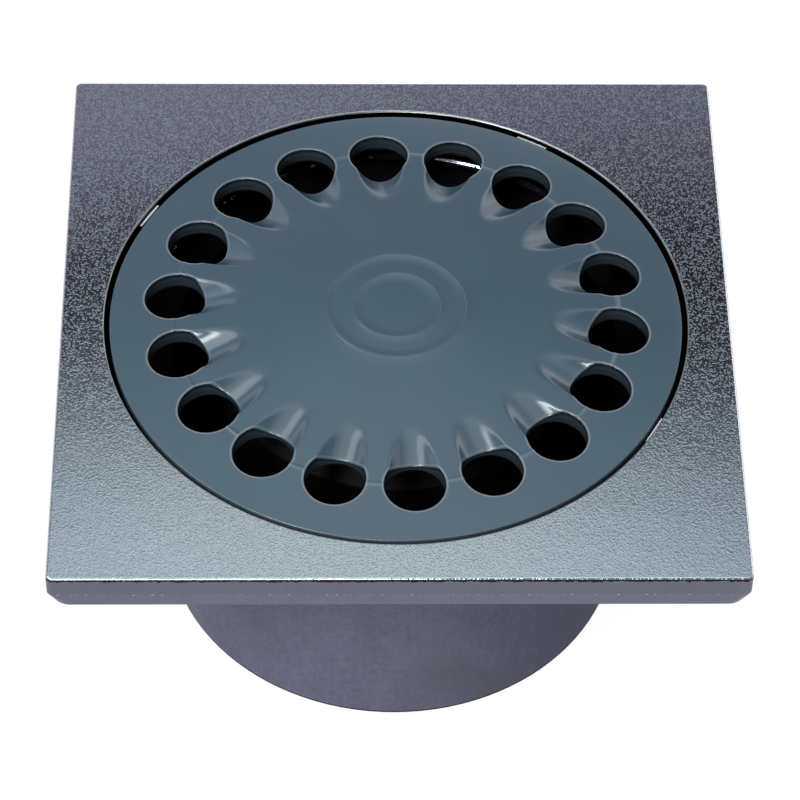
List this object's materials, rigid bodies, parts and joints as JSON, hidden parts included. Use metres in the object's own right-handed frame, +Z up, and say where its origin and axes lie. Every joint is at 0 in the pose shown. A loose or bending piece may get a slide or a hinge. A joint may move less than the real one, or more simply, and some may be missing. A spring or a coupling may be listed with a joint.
{
  "type": "floor drain",
  "caption": "Square chromed floor drain with a domed round plastic grid, a ring of fluted holes, a bell trap inside and a round pipe socket below.",
  "frame": {"origin": "centre of the outlet's lower rim, on which the drain stands", "axes": "+Z up along the outlet, +X and +Y along the plate's sides, with the picture taken from the -Y side"},
  "size_m": [0.15, 0.15, 0.0812],
  "materials": {
    "chromed_casting": "bright chrome with a fine grain on the plate's top, satin on its sides and on the outlet",
    "grid_plastic": "semi-gloss slate blue-grey moulding",
    "bell_plastic": "black moulding"
  },
  "bodies": {
    "root": {"drain_body": "chromed_casting", "grid": "grid_plastic", "trap_bell": "bell_plastic"}
  },
  "joints": []
}
